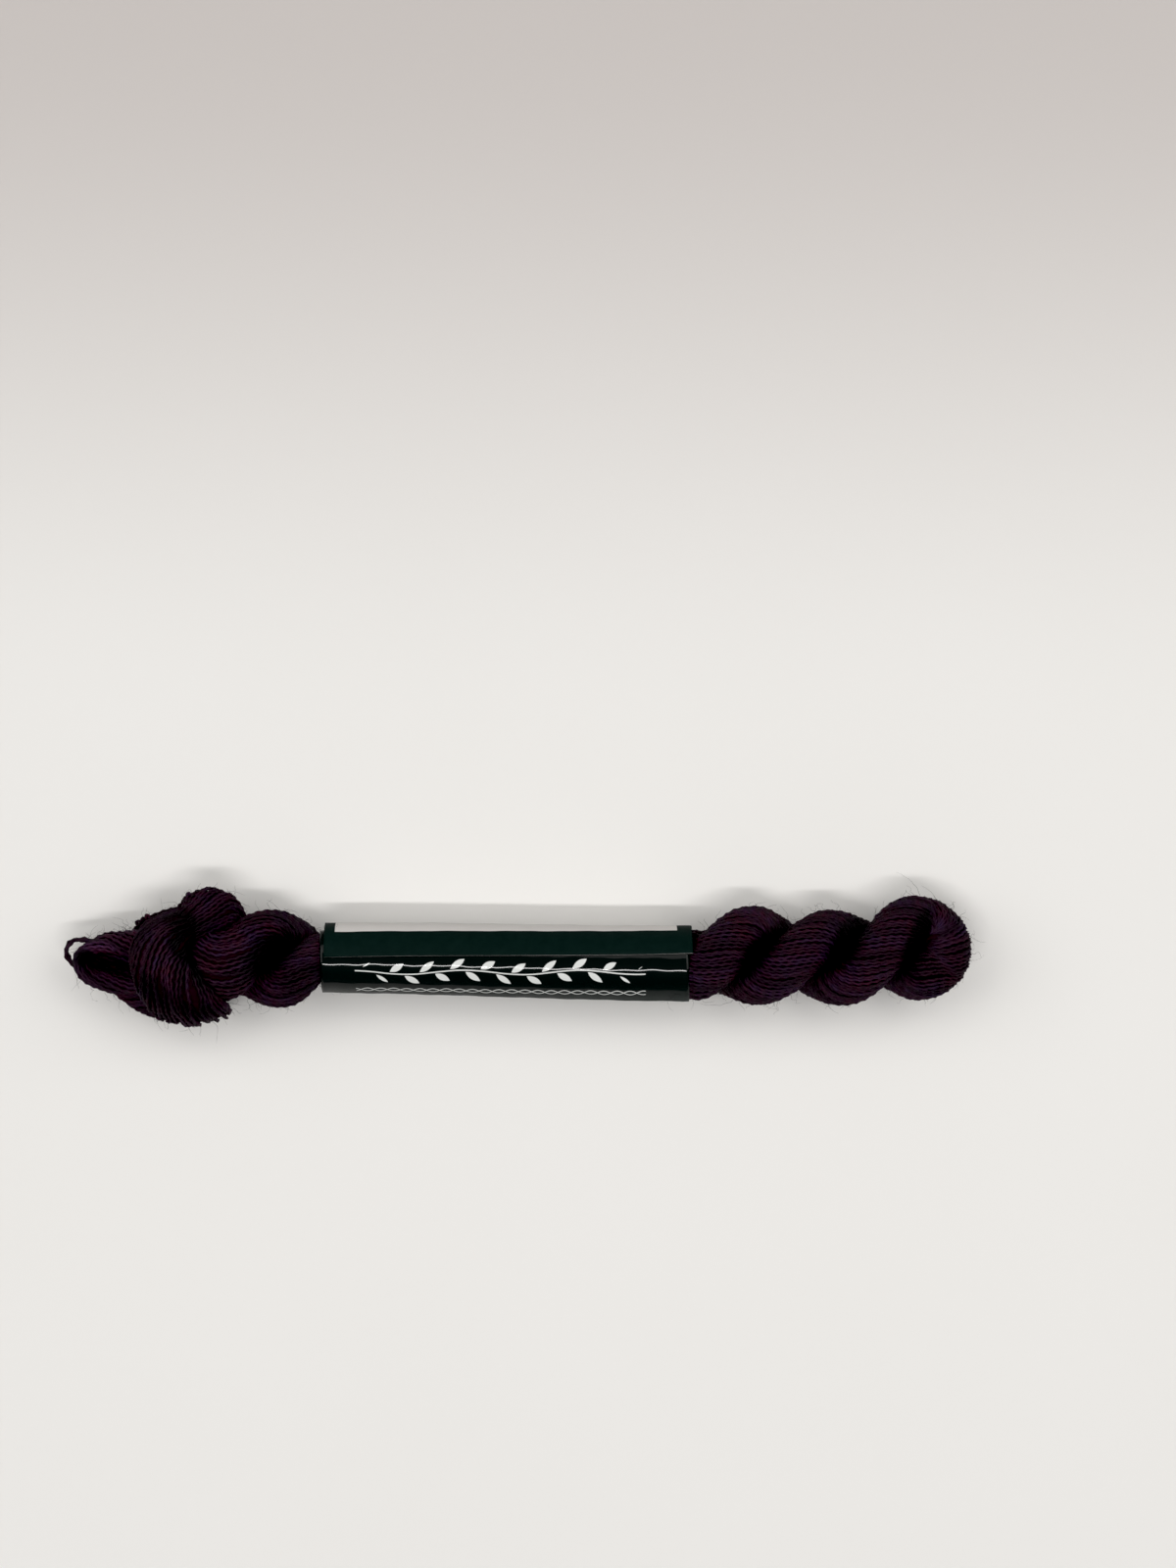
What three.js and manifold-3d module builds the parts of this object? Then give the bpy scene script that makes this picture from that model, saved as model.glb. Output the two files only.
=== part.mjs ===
// A small skein of merino wool yarn, lying on a table with a paper band round its middle.
//
// The hank is a long loop of yarn that was twisted, folded in half and let go, so that its two
// plies wind round each other. They meet in the fold at the right-hand end. At the left-hand end
// one ply finishes in a small loop, the nose, and the other ply's last loop is drawn over it as a
// wrap. Two turns of yarn stand out of the nose as a little thread loop. The paper band is one
// strip, wound slightly askew, whose free edge overlaps its start on the upper side.
//
// Millimetres. X runs along the skein, Z is up, and the origin is on the table under its middle.

import * as THREE from "three";
import { mergeVertices } from "three/addons/utils/BufferGeometryUtils.js";
import Module from "manifold-3d";

const wasm = await Module();
wasm.setup();

// The twist of the two plies
const AXIS_HEIGHT = 8.0;
const HALF_PITCH = 14.13; // along X, from a ply's lowest side to its highest
const HALF_PITCH_IN_BAND = 13.6;
const PHASE_X = 26.53; // where the front ply is at the near side, -Y
const UPPER_HASTE = 0.187; // radians: a ply crosses the upper side a little faster than the underside
const FOLD_X = 69.1; // the middle of the bend at the right-hand end
const FOLD_TURN = 0.35; // radians that the plies still turn within the bend
const KNOT_X = -46.6; // where the even twist ends and the knot starts
const NOSE_X = -69.5; // the middle of the small loop at the left-hand end
const HEART_RADIUS = 3.2; // the strands that fill the middle of the bend and of the knot's root
const KNOT_HEART_X = -49.6;

// The paper band
const BAND = {
  left: -32.75,
  length: 62.8,
  paper: 0.25,
  layerGap: 0.12,
  radiusLeft: 6.12,
  radiusRight: 6.64,
  turn: 2 * Math.PI + 0.9, // the strip goes once round and overlaps by 0.9 radians
  edgeAngle: 1.427, // radians above +Y at which the free edge lies, at the band's middle
  edgeSkew: 0.25, // how much that angle changes over the band's length
  shift: 0.7, // how far a full turn carries the strip along X
};

// The clear space between the band and the yarn, and how fast it opens past the band's ends
const BAND_CLEARANCE = 0.42;
const BAND_OPENING = 0.42;

// How finely the solids are cut
const PLY_STEP = 1.7; // along X, between a ply's sections
const PLY_STEP_IN_BAND = 3.4;
const RIGHT_FLARE = 5.1; // how far inside the band's right end the plies start to widen
const BEND_SHARES = [0.36, 0.7, 1, 1.12]; // places of a ply's last sections in its half of the bend
const PLY_SIDES = 16;
const KNOT_STEPS = 2; // rings for each row of the knot's bundles
const HEART_SIDES = 10;
const BAND_STEPS_ALONG = 8;
const BAND_STEPS_ROUND = 56;

// The block below the table top
const TABLE = { length: 200, width: 80, depth: 20 };

// The line that the bundles lie round, and what each ply measures along the even twist: how far
// its middle is from that line, its half thickness away from it, and its half width across.
const AXIS = [
  { x: NOSE_X, y: -0.7 },
  { x: -60.0, y: -1.4 },
  { x: -50.0, y: -0.6 },
  { x: -33.5, y: -0.3 },
  { x: 30.0, y: -1.3 },
  { x: 41.0, y: 0.2 },
  { x: 55.0, y: -0.3 },
  { x: FOLD_X, y: 1.4 },
];
const TWIST = [
  { x: KNOT_X, reach: 4.1, thick: 4.6, wide: 4.6 },
  { x: -43.0, reach: 4.2, thick: 4.3, wide: 4.3 },
  { x: -38.5, reach: 4.1, thick: 4.1, wide: 4.1 },
  { x: -34.5, reach: 3.0, thick: 3.4, wide: 3.6 },
  { x: -30.5, reach: 2.3, thick: 2.55, wide: 2.55 },
  { x: 26.0, reach: 2.6, thick: 2.8, wide: 2.8 },
  { x: 31.0, reach: 3.2, thick: 3.7, wide: 4.5 },
  { x: 35.0, reach: 3.7, thick: 4.1, wide: 4.6 },
  { x: 41.0, reach: 4.15, thick: 4.35, wide: 4.35 },
  { x: 55.0, reach: 3.95, thick: 4.2, wide: 4.2 },
  { x: 62.0, reach: 4.1, thick: 4.4, wide: 4.4 },
  { x: FOLD_X, reach: 4.3, thick: 4.7, wide: 4.7 },
];

// The knot's bundles, a row for each section: its middle, its half width across the bundle, and
// its half thickness away from the axis.
const FRONT_PLY_END = [
  { x: -49.6, y: -1.0, z: 12.0, wide: 6.2, thick: 4.3 },
  { x: -53.0, y: -1.9, z: 11.2, wide: 6.1, thick: 4.2 },
  { x: -56.6, y: -2.4, z: 9.6, wide: 5.0, thick: 3.6 },
  { x: -61.0, y: -2.0, z: 8.8, wide: 3.4, thick: 3.0 },
];
const BACK_PLY_END = [
  { x: -48.8, y: 0.2, z: 3.9, wide: 4.4, thick: 4.0 },
  { x: -50.8, y: 4.8, z: 5.0, wide: 4.8, thick: 4.0 },
  { x: -52.6, y: 7.6, z: 9.0, wide: 5.2, thick: 4.1 },
  { x: -54.2, y: 6.6, z: 12.0, wide: 4.0, thick: 3.2 },
  { x: -56.6, y: 5.0, z: 13.8, wide: 3.2, thick: 2.5 },
];
const WRAP_OVER = [
  { x: -54.0, y: 5.4, z: 12.4, wide: 2.4, thick: 2.3 },
  { x: -56.4, y: 5.0, z: 13.8, wide: 3.0, thick: 2.5 },
  { x: -59.0, y: 3.4, z: 14.9, wide: 4.4, thick: 2.5 },
  { x: -60.4, y: 0.8, z: 15.2, wide: 5.2, thick: 2.4 },
  { x: -60.2, y: -2.2, z: 15.0, wide: 5.4, thick: 2.4 },
  { x: -59.0, y: -4.9, z: 14.0, wide: 5.8, thick: 2.5 },
  { x: -57.2, y: -7.4, z: 11.9, wide: 6.3, thick: 2.6 },
  { x: -55.7, y: -9.3, z: 8.6, wide: 6.8, thick: 2.6 },
  { x: -56.8, y: -8.7, z: 5.6, wide: 6.4, thick: 2.6 },
];
const WRAP_UNDER = [
  { x: -55.6, y: -9.0, z: 7.4, wide: 5.6, thick: 2.2 },
  { x: -58.2, y: -8.1, z: 4.8, wide: 5.6, thick: 2.4 },
  { x: -62.6, y: -5.4, z: 3.2, wide: 5.2, thick: 2.4 },
  { x: -64.2, y: -1.8, z: 2.6, wide: 5.0, thick: 2.4 },
  { x: -62.6, y: 2.4, z: 3.2, wide: 4.8, thick: 2.4 },
  { x: -59.6, y: 5.2, z: 5.8, wide: 4.2, thick: 2.4 },
  { x: -55.4, y: 6.6, z: 8.4, wide: 3.6, thick: 2.4 },
];
const NOSE = [
  { x: -58.0, y: 2.0, z: 9.0, wide: 2.9, thick: 2.5 },
  { x: -62.0, y: 2.1, z: 9.0, wide: 3.2, thick: 2.6 },
  { x: -66.0, y: 2.2, z: 8.6, wide: 3.3, thick: 2.4 },
  { x: -69.6, y: 2.3, z: 8.0, wide: 3.2, thick: 1.9 },
  { x: -72.6, y: 1.7, z: 7.4, wide: 3.0, thick: 1.3 },
  { x: -74.7, y: 0.4, z: 6.9, wide: 2.9, thick: 1.1 },
  { x: -74.9, y: -1.3, z: 6.6, wide: 2.9, thick: 1.1 },
  { x: -73.4, y: -3.1, z: 6.4, wide: 3.0, thick: 1.3 },
  { x: -70.2, y: -4.2, z: 6.4, wide: 3.1, thick: 1.7 },
  { x: -66.0, y: -4.7, z: 6.8, wide: 3.2, thick: 2.0 },
  { x: -62.0, y: -4.5, z: 7.6, wide: 3.0, thick: 2.1 },
  { x: -58.0, y: -3.4, z: 8.6, wide: 2.6, thick: 2.0 },
];
const NOSE_FLOOR = [
  { x: -60.0, y: -1.1, z: 4.8, wide: 3.2, thick: 2.0 },
  { x: -66.0, y: -1.1, z: 4.6, wide: 3.2, thick: 1.7 },
  { x: -71.0, y: -0.8, z: 4.9, wide: 2.8, thick: 1.3 },
  { x: -73.8, y: -0.6, z: 5.5, wide: 2.2, thick: 1.0 },
];
// The turns that leave the nose's near side and run on under the wrap
const LEG = [
  { x: -69.6, y: -3.6, z: 5.6, wide: 2.2, thick: 2.0 },
  { x: -67.6, y: -5.0, z: 5.2, wide: 2.6, thick: 2.3 },
  { x: -65.4, y: -6.6, z: 5.0, wide: 2.8, thick: 2.4 },
  { x: -63.0, y: -8.0, z: 5.0, wide: 2.8, thick: 2.4 },
  { x: -60.0, y: -8.8, z: 5.2, wide: 2.6, thick: 2.2 },
];
const THREAD_LOOP = [
  { x: -70.2, y: 1.6, z: 9.7, wide: 0.6, thick: 0.6 },
  { x: -72.2, y: 2.2, z: 9.2, wide: 0.6, thick: 0.6 },
  { x: -74.0, y: 2.8, z: 8.3, wide: 0.6, thick: 0.6 },
  { x: -75.8, y: 2.8, z: 7.6, wide: 0.6, thick: 0.6 },
  { x: -77.2, y: 1.9, z: 7.0, wide: 0.6, thick: 0.6 },
  { x: -77.6, y: 0.6, z: 6.7, wide: 0.6, thick: 0.6 },
  { x: -77.3, y: -0.6, z: 6.4, wide: 0.6, thick: 0.6 },
  { x: -76.4, y: -1.6, z: 6.2, wide: 0.6, thick: 0.6 },
  { x: -75.2, y: -2.6, z: 6.1, wide: 0.6, thick: 0.6 },
  { x: -73.6, y: -3.5, z: 6.1, wide: 0.6, thick: 0.6 },
];
const KNOT_BUNDLES = [
  { rows: WRAP_OVER, sides: 18 },
  { rows: WRAP_UNDER, sides: 16 },
  { rows: NOSE, sides: 14 },
  { rows: NOSE_FLOOR, sides: 12 },
  { rows: LEG, sides: 12 },
  { rows: THREAD_LOOP, sides: 8 },
];

// A column's value at x, easing from row to row.
function along(rows, column, x) {
  const after = rows.findIndex((row) => row.x > x);
  if (after === 0) return rows[0][column];
  if (after < 0) return rows[rows.length - 1][column];
  const from = rows[after - 1];
  const to = rows[after];
  const share = (x - from.x) / (to.x - from.x);
  const eased = share * share * (3 - 2 * share);
  return from[column] + (to[column] - from[column]) * eased;
}

function axisAt(x) {
  const within = THREE.MathUtils.clamp(x, NOSE_X, FOLD_X);
  return new THREE.Vector3(within, along(AXIS, "y", within), AXIS_HEIGHT);
}

// How far the front ply has turned round the axis at x: 0 on top, a quarter turn at +Y.
function turnAt(x, ply) {
  const pitch = x < PHASE_X ? HALF_PITCH_IN_BAND : HALF_PITCH;
  const even = (Math.PI * (x - PHASE_X)) / pitch - Math.PI / 2 + ply * Math.PI;
  return even + UPPER_HASTE * Math.sin(even);
}

function pointRound(x, turn, reach) {
  return axisAt(x).add(
    new THREE.Vector3(x - axisAt(x).x, reach * Math.sin(turn), reach * Math.cos(turn)),
  );
}

// A point of the plies, pressed in to the clear space inside the paper band, which opens again
// little by little past the band's ends.
function pressedIn(point) {
  const turns = BAND.turn / (2 * Math.PI);
  const leftmost = BAND.left - BAND.shift * turns;
  const within = THREE.MathUtils.clamp(point.x, leftmost, BAND.left + BAND.length);
  const share = (within - BAND.left) / BAND.length;
  const outer = THREE.MathUtils.lerp(BAND.radiusLeft, BAND.radiusRight, share);
  const inner = outer - turns * (BAND.paper + BAND.layerGap) - BAND.paper;
  const most = inner - BAND_CLEARANCE + Math.abs(point.x - within) * BAND_OPENING;
  const axis = axisAt(point.x);
  const reach = point.distanceTo(axis);
  return reach > most ? axis.lerp(point, most / reach) : point;
}

// Sections of one ply along the even twist, from the knot to the bend.
function twistSections(ply) {
  const sections = [];
  const coarseFrom = BAND.left + PLY_STEP;
  const coarseTo = BAND.left + BAND.length - RIGHT_FLARE;
  for (let x = KNOT_X; x <= FOLD_X; ) {
    const middle = pointRound(x, turnAt(x, ply), along(TWIST, "reach", x));
    const wide = along(TWIST, "wide", x);
    const thick = along(TWIST, "thick", x);
    sections.push({ middle, wide, thick });
    x += x > coarseFrom && x < coarseTo ? PLY_STEP_IN_BAND : PLY_STEP;
  }
  return sections;
}

// The first half of the bend that joins this ply to the other, and a little past its middle.
function bendSections(ply) {
  const { reach, thick, wide } = TWIST[TWIST.length - 1];
  return BEND_SHARES.map((share) => {
    const swing = (share * Math.PI) / 2;
    const x = FOLD_X + reach * Math.sin(swing);
    const turn = turnAt(FOLD_X, ply) + FOLD_TURN * share;
    return { middle: pointRound(x, turn, reach * Math.cos(swing)), wide, thick };
  });
}

function tableSections(rows) {
  return rows.map(({ x, y, z, wide, thick }) => ({
    middle: new THREE.Vector3(x, y, z),
    wide,
    thick,
  }));
}

// A closed bundle through the given sections: a cylinder whose rings are moved to a smooth line
// through their middles. Its thickness points away from the axis.
function bundle(sections, sides, stepsBetween) {
  const line = new THREE.CatmullRomCurve3(
    sections.map((section) => section.middle),
    false,
    "catmullrom",
  );
  const sizes = new THREE.CatmullRomCurve3(
    sections.map((section) => new THREE.Vector3(section.wide, section.thick, 0)),
    false,
    "catmullrom",
  );
  const steps = (sections.length - 1) * stepsBetween;
  const rings = [];
  for (let i = 0; i <= steps; i++) {
    const middle = line.getPoint(i / steps);
    const size = sizes.getPoint(i / steps);
    const ahead = line.getTangent(i / steps);
    const out = middle.clone().sub(axisAt(middle.x));
    out.addScaledVector(ahead, -out.dot(ahead)).normalize();
    const across = ahead.clone().cross(out);
    rings.push({ middle, size, out, across });
  }
  const shape = new THREE.CylinderGeometry(1, 1, 1, sides, steps);
  const place = shape.getAttribute("position");
  const corner = new THREE.Vector3();
  for (let i = 0; i < place.count; i++) {
    corner.fromBufferAttribute(place, i);
    const ring = rings[Math.round((corner.y + 0.5) * steps)];
    const moved = ring.middle
      .clone()
      .addScaledVector(ring.out, corner.z * ring.size.y)
      .addScaledVector(ring.across, corner.x * ring.size.x);
    place.setXYZ(i, ...pressedIn(moved));
  }
  return solidOf(shape);
}

function solidOf(geometry) {
  geometry.deleteAttribute("normal");
  geometry.deleteAttribute("uv");
  const merged = mergeVertices(geometry, 1e-4);
  return new wasm.Manifold(
    new wasm.Mesh({
      numProp: 3,
      vertProperties: merged.getAttribute("position").array,
      triVerts: new Uint32Array(merged.index.array),
    }),
  );
}

function geometryOf(solid) {
  const mesh = solid.getMesh();
  const places = new Float32Array(mesh.numVert * 3);
  for (let i = 0; i < mesh.numVert; i++) {
    const from = i * mesh.numProp;
    places.set(mesh.vertProperties.subarray(from, from + 3), i * 3);
  }
  const geometry = new THREE.BufferGeometry();
  geometry.setAttribute("position", new THREE.BufferAttribute(places, 3));
  geometry.setIndex(new THREE.BufferAttribute(mesh.triVerts, 1));
  geometry.computeVertexNormals();
  return geometry;
}

// Everything below the table top, which presses small flats on the lobes that the skein lies on.
function belowTable() {
  const block = new THREE.BoxGeometry(TABLE.length, TABLE.width, TABLE.depth);
  block.translate(0, 0, -TABLE.depth / 2);
  return solidOf(block);
}

// The strands that fill the middle of the bend, or of the knot's root.
function heartAt(x) {
  const heart = new THREE.SphereGeometry(HEART_RADIUS, HEART_SIDES, HEART_SIDES);
  const middle = axisAt(x);
  heart.translate(middle.x, middle.y, middle.z);
  return solidOf(heart);
}

function skeinSolid() {
  const plyEnds = [FRONT_PLY_END, BACK_PLY_END];
  const plies = plyEnds.map((rows, ply) => {
    const knotted = tableSections(rows).reverse();
    return bundle([...knotted, ...twistSections(ply), ...bendSections(ply)], PLY_SIDES, 1);
  });
  const knot = KNOT_BUNDLES.map(({ rows, sides }) =>
    bundle(tableSections(rows), sides, KNOT_STEPS),
  );
  const hearts = [heartAt(FOLD_X), heartAt(KNOT_HEART_X)];
  const whole = [...plies, ...knot, ...hearts].reduce((sum, next) => sum.add(next));
  return whole.subtract(belowTable());
}

// The paper strip: a thin slab whose length goes round the skein and whose width lies along X.
function bandSolid() {
  const slab = new THREE.BoxGeometry(1, 1, 1, BAND_STEPS_ALONG, BAND_STEPS_ROUND, 1);
  const place = slab.getAttribute("position");
  const corner = new THREE.Vector3();
  for (let i = 0; i < place.count; i++) {
    corner.fromBufferAttribute(place, i);
    const alongShare = corner.x + 0.5;
    const roundShare = corner.y + 0.5;
    const wound = roundShare * BAND.turn;
    const x = BAND.left + alongShare * BAND.length - (BAND.shift * wound) / (2 * Math.PI);
    const outer = THREE.MathUtils.lerp(BAND.radiusLeft, BAND.radiusRight, alongShare);
    const buried = (wound / (2 * Math.PI)) * (BAND.paper + BAND.layerGap);
    const radius = outer - buried - (0.5 - corner.z) * BAND.paper;
    const edge = BAND.edgeAngle + BAND.edgeSkew * (0.5 - alongShare);
    const angle = edge - wound;
    const middle = axisAt(x);
    place.setXYZ(
      i,
      x,
      middle.y + radius * Math.cos(angle),
      middle.z + radius * Math.sin(angle),
    );
  }
  return solidOf(slab);
}

function named(name, solid, material) {
  const mesh = new THREE.Mesh(geometryOf(solid), material);
  mesh.name = name;
  return mesh;
}

const yarn = new THREE.MeshStandardMaterial({ color: 0x2a1220, roughness: 0.95, metalness: 0 });
const paper = new THREE.MeshStandardMaterial({ color: 0x04211a, roughness: 0.3, metalness: 0 });

const group = new THREE.Group();
group.add(named("skein", skeinSolid(), yarn));
group.add(named("paper_band", bandSolid(), paper));

export default group;
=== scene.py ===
"""Lays the yarn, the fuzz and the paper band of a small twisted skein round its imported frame.

The skein is a long loop of two-ply wool, twisted and folded so that its two plies wind round each
other. They meet in a fold at the right-hand end and in a knot at the left-hand end. Tables and
sections are in millimetres, as they are in the frame's own source, and meshes are in metres.
"""

import math

import bpy
import numpy as np
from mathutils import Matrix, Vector


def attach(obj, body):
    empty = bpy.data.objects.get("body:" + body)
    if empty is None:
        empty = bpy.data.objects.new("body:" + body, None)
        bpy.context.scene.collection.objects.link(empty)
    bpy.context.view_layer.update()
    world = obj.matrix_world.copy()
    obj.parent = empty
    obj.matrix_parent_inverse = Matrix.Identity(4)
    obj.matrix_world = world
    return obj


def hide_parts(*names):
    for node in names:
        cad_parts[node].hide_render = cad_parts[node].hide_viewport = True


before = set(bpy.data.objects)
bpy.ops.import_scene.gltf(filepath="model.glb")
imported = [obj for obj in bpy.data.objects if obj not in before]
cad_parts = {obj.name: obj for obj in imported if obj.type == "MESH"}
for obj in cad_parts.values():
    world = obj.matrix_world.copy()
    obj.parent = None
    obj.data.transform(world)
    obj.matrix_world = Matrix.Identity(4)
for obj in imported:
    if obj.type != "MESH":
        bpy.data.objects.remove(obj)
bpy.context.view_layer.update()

bl_info = {
    "name": "Skein of merino wool yarn",
    "version": (1, 0, 0),
    "blender": (4, 5, 0),
    "location": "3D View > Sidebar > Skein",
    "description": "Lays the strands, the fuzz and the paper band of a small twisted skein",
    "category": "Object",
}

MM = 0.001
SEED = 4105

# The twist of the two plies, as in the frame
AXIS_HEIGHT = 8.0
HALF_PITCH = 14.13
HALF_PITCH_IN_BAND = 13.6
PHASE_X = 26.53
UPPER_HASTE = 0.187
FOLD_X = 69.1
FOLD_TURN = 0.35
KNOT_X = -46.6
NOSE_X = -69.5

# The paper band, as in the frame
BAND_LEFT = -32.75
BAND_LENGTH = 62.8
BAND_RADIUS_LEFT = 6.12
BAND_RADIUS_RIGHT = 6.64
BAND_TURN = 2 * math.pi + 0.9
BAND_EDGE_ANGLE = 1.427
BAND_EDGE_SKEW = 0.25
BAND_SHIFT = 0.7
LAYER_GAP = 0.08
EDGE_LIFT = 0.12
# The paper's slight waves: size, turn for each mm along, turn for each radian round, start
PAPER_WAVES = [(0.03, 0.55, 2.1, 0.0), (0.02, 1.3, -3.7, 1.0)]
# How far round the free edge is lifted, and how the lift swings along the edge: share, turn per mm
EDGE_REACH = 0.45
EDGE_SWING = (0.5, 0.23)
PAPER_GRID = (120, 100)
# The print, in millimetres along the band and round it from its free edge. A reach is a half
# width, a wave is its radians for each mm, and the leaves' lean is in radians.
PRINT_BLUR = 0.05
PANEL_START, PANEL_END = 1.8, 60.3
PANEL_LOW, PANEL_HIGH = 5.0, 15.0
VINE_START, VINE_END = 5.9, 55.4
VINE_MIDDLE = 37.1
VINE_WAVE, VINE_SWAY = 0.32, 0.4
VINE_FADE = 7.0
STEM_REACH = 0.14
LEAF_REPEAT = 5.2
LEAF_LEAN = 0.6
LEAF_DISTANCE = 1.15
LEAF_REACH = 0.6
LEAF_TAPER = 0.26
BORDER_MIDDLE = 32.8
BORDER_WAVE, BORDER_SWING = 1.4, 0.5
BORDER_REACH = 0.12
# Where the glossy varnish starts, and how dark the ground is painted under it as painted shade on the
# lower layer
GLOSS_FROM, GLOSS_TO = 29.0, 35.0
GLOSS_PAINTED_SHADE = 0.3

# The line that the bundles lie round: x, y
AXIS = [
    (NOSE_X, -0.7),
    (-60.0, -1.4),
    (-50.0, -0.6),
    (-33.5, -0.3),
    (30.0, -1.3),
    (41.0, 0.2),
    (55.0, -0.3),
    (FOLD_X, 1.4),
]
# The even twist: x, how far a ply's middle is from the line, its half width, its half thickness
TWIST = [
    (KNOT_X, 4.1, 4.6, 4.6),
    (-43.0, 4.2, 4.3, 4.3),
    (-38.5, 4.1, 4.1, 4.1),
    (-34.5, 3.0, 3.6, 3.4),
    (-30.5, 2.3, 2.55, 2.55),
    (26.0, 2.6, 2.8, 2.8),
    (31.0, 3.2, 4.5, 3.7),
    (35.0, 3.7, 4.6, 4.1),
    (41.0, 4.15, 4.35, 4.35),
    (55.0, 3.95, 4.2, 4.2),
    (62.0, 4.1, 4.4, 4.4),
    (FOLD_X, 4.3, 4.7, 4.7),
]
# The knot's bundles: x, y, z, half width across, half thickness away from the line
FRONT_PLY_END = [
    (-49.6, -1.0, 12.0, 6.2, 4.3),
    (-53.0, -1.9, 11.2, 6.1, 4.2),
    (-56.6, -2.4, 9.6, 5.0, 3.6),
    (-61.0, -2.0, 8.8, 3.4, 3.0),
]
BACK_PLY_END = [
    (-48.8, 0.2, 3.9, 4.4, 4.0),
    (-50.8, 4.8, 5.0, 4.8, 4.0),
    (-52.6, 7.6, 9.0, 5.2, 4.1),
    (-54.2, 6.6, 12.0, 4.0, 3.2),
    (-56.6, 5.0, 13.8, 3.2, 2.5),
]
WRAP_OVER = [
    (-54.0, 5.4, 12.4, 2.4, 2.3),
    (-56.4, 5.0, 13.8, 3.0, 2.5),
    (-59.0, 3.4, 14.9, 4.4, 2.5),
    (-60.4, 0.8, 15.2, 5.2, 2.4),
    (-60.2, -2.2, 15.0, 5.4, 2.4),
    (-59.0, -4.9, 14.0, 5.8, 2.5),
    (-57.2, -7.4, 11.9, 6.3, 2.6),
    (-55.7, -9.3, 8.6, 6.8, 2.6),
    (-56.8, -8.7, 5.6, 6.4, 2.6),
]
WRAP_UNDER = [
    (-55.6, -9.0, 7.4, 5.6, 2.2),
    (-58.2, -8.1, 4.8, 5.6, 2.4),
    (-62.6, -5.4, 3.2, 5.2, 2.4),
    (-64.2, -1.8, 2.6, 5.0, 2.4),
    (-62.6, 2.4, 3.2, 4.8, 2.4),
    (-59.6, 5.2, 5.8, 4.2, 2.4),
    (-55.4, 6.6, 8.4, 3.6, 2.4),
]
NOSE = [
    (-58.0, 2.0, 9.0, 2.9, 2.5),
    (-62.0, 2.1, 9.0, 3.2, 2.6),
    (-66.0, 2.2, 8.6, 3.3, 2.4),
    (-69.6, 2.3, 8.0, 3.2, 1.9),
    (-72.6, 1.7, 7.4, 3.0, 1.3),
    (-74.7, 0.4, 6.9, 2.9, 1.1),
    (-74.9, -1.3, 6.6, 2.9, 1.1),
    (-73.4, -3.1, 6.4, 3.0, 1.3),
    (-70.2, -4.2, 6.4, 3.1, 1.7),
    (-66.0, -4.7, 6.8, 3.2, 2.0),
    (-62.0, -4.5, 7.6, 3.0, 2.1),
    (-58.0, -3.4, 8.6, 2.6, 2.0),
]
NOSE_FLOOR = [
    (-60.0, -1.1, 4.8, 3.2, 2.0),
    (-66.0, -1.1, 4.6, 3.2, 1.7),
    (-71.0, -0.8, 4.9, 2.8, 1.3),
    (-73.8, -0.6, 5.5, 2.2, 1.0),
]
LEG = [
    (-69.6, -3.6, 5.6, 2.2, 2.0),
    (-67.6, -5.0, 5.2, 2.6, 2.3),
    (-65.4, -6.6, 5.0, 2.8, 2.4),
    (-63.0, -8.0, 5.0, 2.8, 2.4),
    (-60.0, -8.8, 5.2, 2.6, 2.2),
]
# The little thread loop at the nose: its half width, and x, y, z
LOOP_REACH = 0.52
THREAD_LOOP = [
    (-70.2, 1.6, 9.7),
    (-72.2, 2.2, 9.2),
    (-74.0, 2.8, 8.3),
    (-75.8, 2.8, 7.6),
    (-77.2, 1.9, 7.0),
    (-77.6, 0.6, 6.7),
    (-77.3, -0.6, 6.4),
    (-76.4, -1.6, 6.2),
    (-75.2, -2.6, 6.1),
    (-73.6, -3.5, 6.1),
]

# Spacing of the sections of a ply, how many its bend has, and how finely a curve is followed
SECTION_STEP = 1.3
BEND_SECTIONS = 9
CURVE_POINTS = 40

# How far the dark core lies below the skein's surface, and how close its points are merged first
CORE_DEPTH = 0.5
MERGE_DISTANCE = 0.00002
# Where the plies' strands start under the band
RIGHT_START = 26.5
LEFT_START = -29.5
# The lay of each bundle's strands: a share of its length, and radians round it for each mm there
EVEN_LAY = [(0, 0.444), (1, 0.444)]
FRONT_LAY = [(0, 0.444), (0.25, 0.42), (0.4, 0.34), (0.55, 0.24), (0.8, 0.17), (1, 0.1)]
BACK_LAY = [(0, 0.42), (0.3, 0.34), (0.5, 0.16), (0.7, 0.05), (1, 0.02)]
WRAP_LAY = [(0, 0.12), (0.22, 0.14), (0.4, 0.04), (0.65, -0.15), (1, -0.2)]
NOSE_LAY = [(0, 0.2), (0.4, 0.12), (1, 0.14)]
LEG_LAY = [(0, -0.3), (1, -0.3)]
LOOP_LAY = [(0, 1.1), (1, 1.1)]
# How many strands lie on the outside of a bundle and how many under them. A ply's outside has
# the user's number, and the left-hand plies have this many fewer under them.
LEFT_FEWER = 12
WRAP_COUNTS = (34, 14)
NOSE_COUNTS = (19, 8)
NOSE_FLOOR_COUNTS = (14, 0)
LEG_COUNTS = (23, 0)
LOOP_COUNTS = (3, 0)
# How deep the under strands lie, and how low a strand may lie on the table, in thread widths
UNDER_DEPTH = 0.6
TABLE_CLEARANCE = 0.63
# How much thinner and thicker a thread gets where its bundle is narrow and wide
SQUEEZE = (0.72, 1.1)
# How uneven the strands lie: at their start and to the side as shares of the gap between them, and
# in depth as a share of the thread, with the lengths of the last two drifts in mm
START_DRIFT = 0.15
SIDE_DRIFT, SIDE_WAVE = 0.16, 17
DEPTH_DRIFT, DEPTH_WAVE = 0.14, 9
# This adds to the drift to the side, and in mm it lets one strand stand prouder than another
UNEVEN, WRAP_UNEVEN = 0.12, 0.3
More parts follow.
